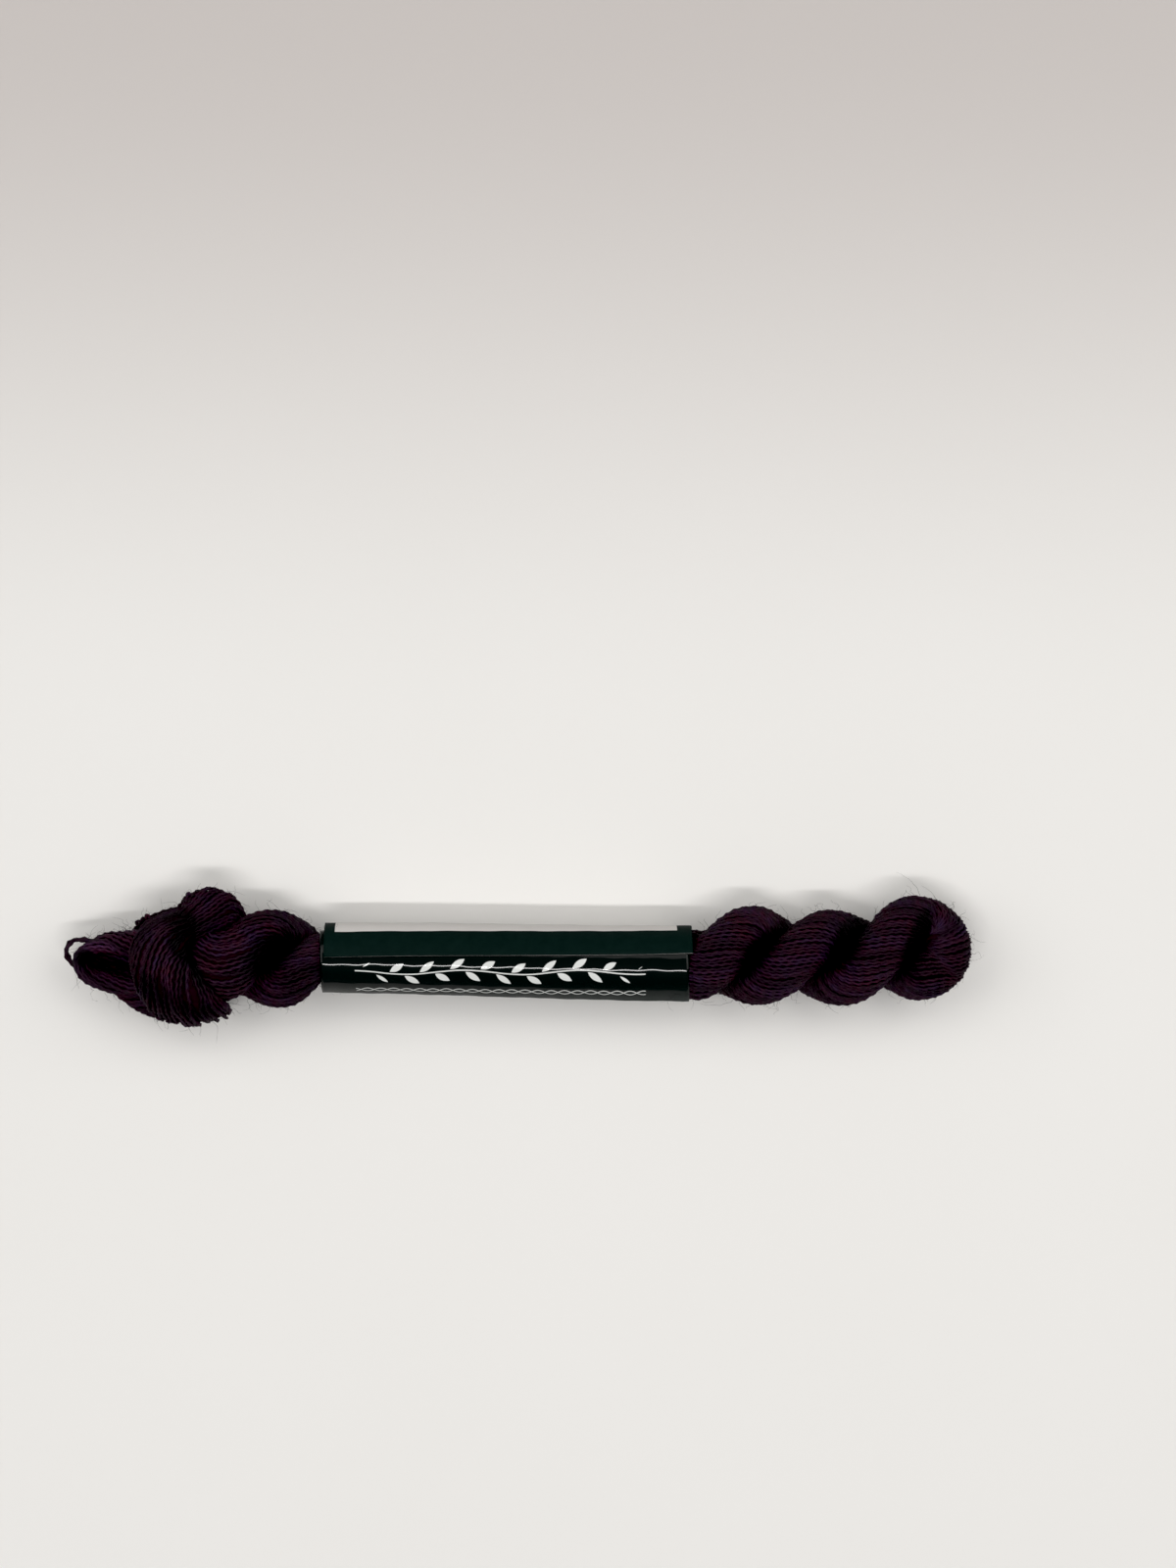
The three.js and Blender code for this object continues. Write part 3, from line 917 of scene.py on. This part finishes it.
def core_material(colours):
    """The yarn deep between the strands, painted dark as shade, with a fibrous surface of its own."""
    material, tree, shader = blank_material("yarn_core")
    fibres = noise(tree, scale=900.0, detail=3.0)
    # Painted shade: the core's colours are the dyes made much darker.
    darker, lighter = CORE_SHADES
    look = {
        "Base Color": mix(tree, fibres, opaque(colours.plum, darker), opaque(colours.maroon, lighter)),
        "Normal": relief(tree, fibres, strength=0.6, distance=0.0003),
        "Roughness": 0.95,
        "Specular IOR Level": 0.1,
    }
    set_inputs(tree, shader, look)
    return material


def give(piece, material, node=None):
    """Dresses a piece, and says which body, finish and frame node it belongs to."""
    piece.data.materials.clear()
    piece.data.materials.append(material)
    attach(piece, "root")
    if node:
        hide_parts(node)


def colours_of(context):
    return context.scene.skein_colours


def sizes_of(context):
    return context.scene.skein_sizes


def strand_material(context):
    return bpy.data.materials.get("yarn_strands") or yarn_material(
        "yarn_strands", colours_of(context), roughness=0.6, sheen=0.03, strength=0.7
    )


class LayCore(bpy.types.Operator):
    """Lay the dark inner yarn that the strands lie round"""

    bl_idname = "skein.lay_core"
    bl_label = "Lay the core"

    def execute(self, context):
        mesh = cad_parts["skein"].data.copy()
        core = add_object("yarn_core", mesh)
        pick(core)
        bpy.ops.object.mode_set(mode="EDIT")
        bpy.ops.mesh.select_all(action="SELECT")
        bpy.ops.mesh.remove_doubles(threshold=MERGE_DISTANCE)
        bpy.ops.transform.shrink_fatten(value=-CORE_DEPTH * MM)
        bpy.ops.object.mode_set(mode="OBJECT")
        bpy.ops.object.shade_smooth()
        give(core, core_material(colours_of(context)), "skein")
        return {"FINISHED"}


def ply_rows():
    """The plies outside the band: the right-hand pair with its fold, then the left-hand pair."""
    right = twist_sections(0, RIGHT_START, FOLD_X) + bend_sections()
    right += twist_sections(1, FOLD_X, RIGHT_START)
    front = twist_sections(0, LEFT_START, KNOT_X) + FRONT_PLY_END
    back = twist_sections(1, LEFT_START, KNOT_X) + BACK_PLY_END
    return right, front, back


def wrap_rows():
    """The wrap in one run, over the knot and back under it."""
    return WRAP_OVER[:-1] + WRAP_UNDER[1:]


def add_strands(context, name, strands, rng):
    sizes = sizes_of(context)
    section = two_ply_section(sizes.thread / MM)
    piece = spin_strands(name, strands, section, sizes.thread_lay / MM, rng)
    give(piece, strand_material(context))


class LayPlies(bpy.types.Operator):
    """Lay the strands of the two twisted plies on both sides of the band"""

    bl_idname = "skein.lay_plies"
    bl_label = "Lay the plies"

    def execute(self, context):
        sizes = sizes_of(context)
        rng = np.random.default_rng(SEED)
        thread, step = sizes.thread / MM, sizes.thread_step / MM
        right, front, back = ply_rows()
        count = sizes.ply_strands
        right = Bundle(right, step * RIGHT_CLOSENESS)
        strands = lay_two_layers(right, (count, 0), EVEN_LAY, rng, thread)
        shade_creases(strands, right, [], rng)
        add_strands(context, "right_strands_odd", strands[1::2], rng)
        add_strands(context, "right_strands_even", strands[::2], rng)
        counts = (count, count - LEFT_FEWER)
        front, back = (Bundle(rows, step * LEFT_CLOSENESS) for rows in (front, back))
        knot = [Bundle(rows, SHADING_STEP) for rows in (wrap_rows(), NOSE)]
        for name, own, other, lays in (
            ("left_front_strands", front, back, FRONT_LAY),
            ("left_back_strands", back, front, BACK_LAY),
        ):
            strands = lay_two_layers(own, counts, lays, rng, thread)
            shade_creases(strands, own, [(other, PLY_CREASE), *beside(knot)], rng)
            add_strands(context, name, strands, rng)
        return {"FINISHED"}


def slack_turn(place, rng):
    """A small tight turn of thread that stands out of the yarn, its ends deep inside."""
    x, y, z, turned = place
    turn = math.radians(turned)
    tilt = rng.uniform(-SLACK_TURN_TILT, SLACK_TURN_TILT)
    side = np.array([math.cos(turn), math.sin(turn), tilt])
    out = np.array([x, y, z]) - axis_at(x)
    out[0] = 0
    out /= np.linalg.norm(out)
    swing = np.linspace(-SLACK_TURN_ROOT, math.pi + SLACK_TURN_ROOT, SLACK_TURN_POINTS)[:, None]
    size = rng.uniform(*SLACK_TURN_SIZE)
    bow = side * np.cos(swing) + out * np.sin(swing) * SLACK_TURN_HEIGHT
    path = np.array([x, y, z]) + size * bow
    # The painted crown light falls on the turn's upper side.
    up = np.tile((0.0, 0.0, 1.0), (len(path), 1))
    return Strand(path, up)


class TieKnot(bpy.types.Operator):
    """Tie the knot: the wrap, the nose that it holds and the little thread loop"""

    bl_idname = "skein.tie_knot"
    bl_label = "Tie the knot"

    def execute(self, context):
        sizes = sizes_of(context)
        rng = np.random.default_rng(SEED + 1)
        thread, step = sizes.thread / MM, sizes.thread_step / MM
        front, back = (Bundle(rows, SHADING_STEP) for rows in ply_rows()[1:])
        wrap, nose, floor = (Bundle(rows, step) for rows in (wrap_rows(), NOSE, NOSE_FLOOR))
        strands = lay_two_layers(wrap, WRAP_COUNTS, WRAP_LAY, rng, thread, WRAP_UNEVEN)
        shade_creases(strands, wrap, beside([front, back, nose]), rng)
        add_strands(context, "wrap_strands", strands, rng)
        strands = lay_two_layers(nose, NOSE_COUNTS, NOSE_LAY, rng, thread)
        shade_creases(strands, nose, beside([wrap]), rng)
        # A painted sheen: more light painted on the nose's turns on the far side.
        for strand in strands:
            strand.light *= 1 + NOSE_PAINTED_SHEEN * np.clip(strand.path[:, 1] / NOSE_SHEEN_REACH, 0, 1)
        deep = lay_two_layers(floor, NOSE_FLOOR_COUNTS, NOSE_LAY, rng, thread)
        shade_creases(deep, floor, beside([wrap, nose]), rng)
        add_strands(context, "nose_strands", strands + deep, rng)
        leg = Bundle(LEG, step)
        strands = lay_two_layers(leg, LEG_COUNTS, LEG_LAY, rng, thread)
        shade_creases(strands, leg, [(nose, PLY_CREASE), (wrap, PLY_CREASE)], rng)
        add_strands(context, "leg_strands", strands, rng)
        turns = [slack_turn(place, rng) for place in SLACK_TURNS]
        add_strands(context, "slack_turns", turns, rng)
        rows = [(*place, LOOP_REACH, LOOP_REACH) for place in THREAD_LOOP]
        strands = lay_two_layers(Bundle(rows, step), LOOP_COUNTS, LOOP_LAY, rng, thread)
        # The painted crown light falls on the loop's threads from above.
        for strand in strands:
            strand.out[:] = (0, 0, 1)
        add_strands(context, "thread_loop", strands, rng)
        return {"FINISHED"}


def curly_hair(bundle, longest, rng):
    """One hair: it leaves the bundle slantwise and curls, a little differently each time."""
    place = rng.integers(1, len(bundle.length) - 1)
    angle = rng.uniform(0, 2 * math.pi)
    start = bundle.on_surface(angle, HAIR_ROOT)[place]
    out = start - bundle.middle[place]
    out /= np.linalg.norm(out)
    side = np.cross(out, rng.normal(size=3))
    side /= np.linalg.norm(side)
    other = np.cross(out, side)
    length = longest * (SHORTEST_HAIR + (1 - SHORTEST_HAIR) * rng.random() ** 2)
    if rng.random() < STRAY_SHARE:
        length *= STRAY_LENGTH
    share = np.linspace(0, 1, HAIR_POINTS)[:, None]
    lean = rng.uniform(*HAIR_LEAN)
    turned = rng.uniform(*HAIR_TURNS) * 2 * math.pi * share * length / longest
    curl = turned + rng.uniform(*HAIR_PHASE)
    wave = rng.uniform(*HAIR_CURL)
    path = start + out * length * share * (1 - HAIR_FALL * share)
    path = path + side * lean * length * share**HAIR_LEAN_POWER
    path = path + (side * np.cos(curl) + other * np.sin(curl)) * wave * np.sqrt(share)
    path[:, 2] = np.maximum(path[:, 2], HAIR_CLEARANCE)
    return Strand(path, np.tile(out, (len(path), 1)))


class RaiseFuzz(bpy.types.Operator):
    """Raise the fine curly hairs that stand out of the yarn"""

    bl_idname = "skein.raise_fuzz"
    bl_label = "Raise the fuzz"

    def execute(self, context):
        sizes = sizes_of(context)
        rng = np.random.default_rng(SEED + 2)
        bundles = [Bundle(rows, FUZZ_STEP) for rows in (*ply_rows(), wrap_rows(), NOSE)]
        lengths = np.array([bundle.length[-1] for bundle in bundles])
        hairs = []
        for bundle, share in zip(bundles, lengths / lengths.sum()):
            for _ in range(round(sizes.hairs * share)):
                hairs.append(curly_hair(bundle, sizes.hair_length / MM, rng))
        radius = sizes.hair_radius / MM
        corners = [(radius * math.cos(turn), radius * math.sin(turn)) for turn in HAIR_CORNERS]
        piece = spin_strands("fuzz_hairs", hairs, corners, HAIR_LAY, rng, HAIR_TIP)
        wool = yarn_material(
            "yarn_fuzz", colours_of(context), roughness=0.8, sheen=0.02, strength=0.1
        )
        give(piece, wool)
        return {"FINISHED"}


def within(tree, distance, reach, blur=PRINT_BLUR):
    """1 where the distance is less than the reach, 0 beyond it, with a soft edge."""
    inside = calc(tree, "DIVIDE", calc(tree, "SUBTRACT", reach, distance), blur)
    return add_node(tree, "ShaderNodeClamp", Value=inside).outputs[0]


def off(tree, value, middle):
    """How far a value is from a middle, either way."""
    return calc(tree, "ABSOLUTE", calc(tree, "SUBTRACT", value, middle))


def vine_leaf(tree, along, across, side, shift, size):
    """The pointed leaves on one side of the vine's stem, one in each repeat."""
    moved = calc(tree, "ADD", along, shift)
    place = calc(tree, "SUBTRACT", calc(tree, "WRAP", moved, LEAF_REPEAT, 0.0), LEAF_REPEAT / 2)
    aside = calc(tree, "SUBTRACT", calc(tree, "MULTIPLY", across, side), LEAF_DISTANCE)
    cosine, sine = math.cos(LEAF_LEAN), math.sin(LEAF_LEAN)
    length = calc(
        tree, "ADD", calc(tree, "MULTIPLY", place, cosine), calc(tree, "MULTIPLY", aside, sine)
    )
    width = calc(
        tree, "SUBTRACT", calc(tree, "MULTIPLY", aside, cosine), calc(tree, "MULTIPLY", place, sine)
    )
    bow = calc(tree, "MULTIPLY_ADD", calc(tree, "MULTIPLY", length, length), -LEAF_TAPER, size)
    return within(tree, calc(tree, "ABSOLUTE", width), bow)


def ornament_group():
    """The band's print: a leafy vine, a border of two crossing waves, and a light panel."""
    outputs = [(label, "NodeSocketFloat") for label in ("Vine", "Border", "Panel")]
    group, entry, leave = new_group("Vine and border", [("Place", "NodeSocketVector", None)], outputs)
    parts = add_node(group, "ShaderNodeSeparateXYZ", Vector=entry.outputs["Place"])
    u, v = parts.outputs["X"], parts.outputs["Y"]
    sway = calc(group, "SINE", calc(group, "MULTIPLY", u, VINE_WAVE))
    bend = calc(group, "MULTIPLY", sway, VINE_SWAY)
    across = calc(group, "SUBTRACT", calc(group, "SUBTRACT", v, VINE_MIDDLE), bend)
    stem = within(group, calc(group, "ABSOLUTE", across), STEM_REACH)
    middle = (VINE_START + VINE_END) / 2
    off_middle = off(group, u, middle)
    here = within(group, off_middle, VINE_END - middle)
    fade = within(group, off_middle, VINE_END - middle, VINE_FADE)
    size = calc(group, "MULTIPLY", fade, LEAF_REACH)
    upper = vine_leaf(group, u, across, 1, 0.0, size)
    lower = vine_leaf(group, u, across, -1, LEAF_REPEAT / 2, size)
    vine = calc(group, "MAXIMUM", stem, calc(group, "MAXIMUM", upper, lower))
    below = calc(group, "SUBTRACT", v, BORDER_MIDDLE)
    wave = calc(group, "SINE", calc(group, "MULTIPLY", u, BORDER_WAVE))
    strokes = [
        within(
            group,
            calc(group, "ABSOLUTE", calc(group, "MULTIPLY_ADD", wave, swing, below)),
            BORDER_REACH,
        )
        for swing in (BORDER_SWING, -BORDER_SWING)
    ]
    border = calc(group, "MAXIMUM", *strokes)
    sideways = off(group, u, (PANEL_START + PANEL_END) / 2)
    upright = off(group, v, (PANEL_LOW + PANEL_HIGH) / 2)
    panel = calc(
        group,
        "MULTIPLY",
        within(group, sideways, (PANEL_END - PANEL_START) / 2),
        within(group, upright, (PANEL_HIGH - PANEL_LOW) / 2),
    )
    masks = {
        "Vine": calc(group, "MULTIPLY", vine, here),
        "Border": calc(group, "MULTIPLY", border, here),
        "Panel": panel,
    }
    set_inputs(group, leave, masks)
    return group


def paper_material(colours):
    """Green printed paper, matte on the flap and glossy on the layer below it, whose ground is darkened
    as painted shade.
    """
    material, tree, shader = blank_material("printed_paper")
    chart = add_node(tree, "ShaderNodeUVMap", uv_map="UVMap").outputs["UV"]
    print_group = shared_group("Vine and border", ornament_group)
    ornament = add_node(tree, "ShaderNodeGroup", node_tree=print_group, Place=chart)
    mottle = noise(tree, scale=700.0, detail=3.0)
    darker, lighter = GROUND_SHADES
    ground = mix(tree, mottle, opaque(colours.green, darker), opaque(colours.green, lighter))
    gloss_and_painted_shade = share_of_y(tree, chart, GLOSS_FROM, GLOSS_TO)
    # Painted shade: the ground is darker under the gloss.
    colour = mix(tree, gloss_and_painted_shade, ground, opaque(colours.green, GLOSS_PAINTED_SHADE))
    inks = {"Vine": colours.print_ink, "Border": colours.print_ink, "Panel": colours.panel}
    for mask, ink in inks.items():
        colour = mix(tree, ornament.outputs[mask], colour, opaque(ink))
    look = {
        "Base Color": colour,
        "Normal": relief(tree, mottle, strength=0.15, distance=0.0001),
        "Roughness": 0.5,
        "Specular IOR Level": 0.02,
        "Coat Weight": gloss_and_painted_shade,
        "Coat Roughness": 0.045,
        "Coat IOR": 1.3,
    }
    set_inputs(tree, shader, look)
    return material


def bare_paper_material(colours):
    """The bare paper that shows at the cut edges and on the inside."""
    material, tree, shader = blank_material("bare_paper")
    darker, lighter = BARE_SHADES
    fibres = noise(tree, scale=2500.0, detail=2.0)
    shade = mix(tree, fibres, opaque(colours.panel, darker), opaque(colours.panel, lighter))
    set_inputs(tree, shader, {"Base Color": shade, "Roughness": 0.85})
    return material


def paper_point(along, wound, paper):
    """A point on the paper's outer face: its share of the band's length, and how far it is wound."""
    turns = wound / (2 * math.pi)
    x = BAND_LEFT + along * BAND_LENGTH - BAND_SHIFT * turns
    radius = BAND_RADIUS_LEFT + (BAND_RADIUS_RIGHT - BAND_RADIUS_LEFT) * along
    radius -= turns * (paper + LAYER_GAP)
    radius += sum(
        size * math.sin(x * for_x + wound * for_turn + start)
        for size, for_x, for_turn, start in PAPER_WAVES
    )
    share, for_x = EDGE_SWING
    lift = EDGE_LIFT * max(0.0, 1 - wound / EDGE_REACH) ** 2
    radius += lift * (1 + share * math.sin(x * for_x))
    angle = BAND_EDGE_ANGLE + BAND_EDGE_SKEW * (0.5 - along) - wound
    middle = axis_at(x)
    return Vector((x, middle[1] + radius * math.cos(angle), middle[2] + radius * math.sin(angle)))


class WrapBand(bpy.types.Operator):
    """Wrap the printed paper band round the middle of the skein"""

    bl_idname = "skein.wrap_band"
    bl_label = "Wrap the band"

    def execute(self, context):
        paper = sizes_of(context).paper / MM
        deselect_all()
        columns, rows = PAPER_GRID
        bpy.ops.mesh.primitive_grid_add(x_subdivisions=columns, y_subdivisions=rows, size=1)
        strip = context.active_object
        strip.name = "paper_wrap"
        chart = strip.data.uv_layers[0].data
        strip_length = BAND_TURN * (BAND_RADIUS_LEFT + BAND_RADIUS_RIGHT) / 2
        for corner in strip.data.loops:
            point = strip.data.vertices[corner.vertex_index].co
            chart[corner.index].uv = ((point.x + 0.5) * BAND_LENGTH, (point.y + 0.5) * strip_length)
        for vertex in strip.data.vertices:
            along, wound = vertex.co.x + 0.5, (vertex.co.y + 0.5) * BAND_TURN
            vertex.co = paper_point(along, wound, paper) * MM
        bpy.ops.object.shade_smooth()
        thicken = strip.modifiers.new("thickness", "SOLIDIFY")
        thicken.thickness = paper * MM
        thicken.offset = -1
        thicken.material_offset = 1
        thicken.material_offset_rim = 1
        give(strip, paper_material(colours_of(context)), "paper_band")
        strip.data.materials.append(bare_paper_material(colours_of(context)))
        bpy.ops.object.modifier_apply(modifier="thickness")
        return {"FINISHED"}


def floor_material():
    """A pale floor, a little cloudy, with shade painted on its far side."""
    material, tree, shader = blank_material("pale_floor")
    cloudy = noise(tree, scale=14.0, detail=2.0)
    near = mix(tree, cloudy, *(opaque(colour) for colour in FLOOR_COLOURS))
    place = add_node(tree, "ShaderNodeTexCoord").outputs["Object"]
    # Painted shade: the floor turns darker towards its far side.
    far = share_of_y(tree, place, FLOOR_DIM_FROM, FLOOR_DIM_TO)
    look = {
        "Base Color": mix(tree, far, near, opaque(FLOOR_SHADE_COLOUR)),
        "Roughness": 0.6,
        "Specular IOR Level": 0.2,
    }
    set_inputs(tree, shader, look)
    return material


def add_light(name, place, size, power, colour):
    light = bpy.data.lights.new(name, "AREA")
    light.shape = "RECTANGLE"
    light.size, light.size_y = size
    light.energy = power
    light.color = colour
    holder = add_object(name, light)
    holder.location = place
    towards = Vector(LIGHTS_AIM) - Vector(place)
    holder.rotation_euler = towards.to_track_quat("-Z", "Y").to_euler()


class SetStage(bpy.types.Operator):
    """Set the pale floor, the soft lights and the camera above the skein"""

    bl_idname = "skein.set_stage"
    bl_label = "Set the stage"

    def execute(self, context):
        scene = context.scene
        deselect_all()
        bpy.ops.mesh.primitive_plane_add(size=FLOOR_SIZE)
        floor = context.active_object
        floor.name = "floor"
        floor.data.materials.append(floor_material())
        for light in LIGHTS:
            add_light(*light)
        world = scene.world or bpy.data.worlds.new("room")
        scene.world = world
        world.use_nodes = True
        sky = world.node_tree.nodes["Background"]
        sky.inputs["Color"].default_value = ROOM_COLOUR
        sky.inputs["Strength"].default_value = ROOM_STRENGTH
        scene.view_settings.view_transform = "Standard"
        scene.view_settings.use_curve_mapping = True
        scene.view_settings.curve_mapping.black_level = [BLACK_POINT] * 3
        lens = bpy.data.cameras.new("camera")
        lens.lens = CAMERA_LENS
        camera = add_object("camera", lens)
        tilt = math.radians(CAMERA_ELEVATION)
        back = Vector((0, -math.cos(tilt), math.sin(tilt)))
        camera.location = Vector(CAMERA_TARGET) + back * CAMERA_DISTANCE
        camera.rotation_euler = (math.pi / 2 - tilt, 0, 0)
        scene.camera = camera
        return {"FINISHED"}


class SkeinPanel(bpy.types.Panel):
    """The skein's sizes and colours, and its steps in order."""

    bl_idname = "VIEW3D_PT_skein"
    bl_label = "Skein"
    bl_space_type = "VIEW_3D"
    bl_region_type = "UI"
    bl_category = "Skein"

    def draw(self, context):
        layout = self.layout
        for group in (sizes_of(context), colours_of(context)):
            for name in type(group).__annotations__:
                layout.prop(group, name)
        for step in STEPS:
            layout.operator(step.bl_idname)


STEPS = (SetStage, LayCore, LayPlies, TieKnot, RaiseFuzz, WrapBand)
CLASSES = (SkeinSizes, SkeinColours, *STEPS, SkeinPanel)


def register():
    for made in CLASSES:
        bpy.utils.register_class(made)
    bpy.types.Scene.skein_sizes = bpy.props.PointerProperty(type=SkeinSizes)
    bpy.types.Scene.skein_colours = bpy.props.PointerProperty(type=SkeinColours)


def unregister():
    del bpy.types.Scene.skein_colours
    del bpy.types.Scene.skein_sizes
    for made in reversed(CLASSES):
        bpy.utils.unregister_class(made)


def main():
    register()
    for step in STEPS:
        group, name = step.bl_idname.split(".")
        getattr(getattr(bpy.ops, group), name)()


if __name__ == "__main__":
    main()
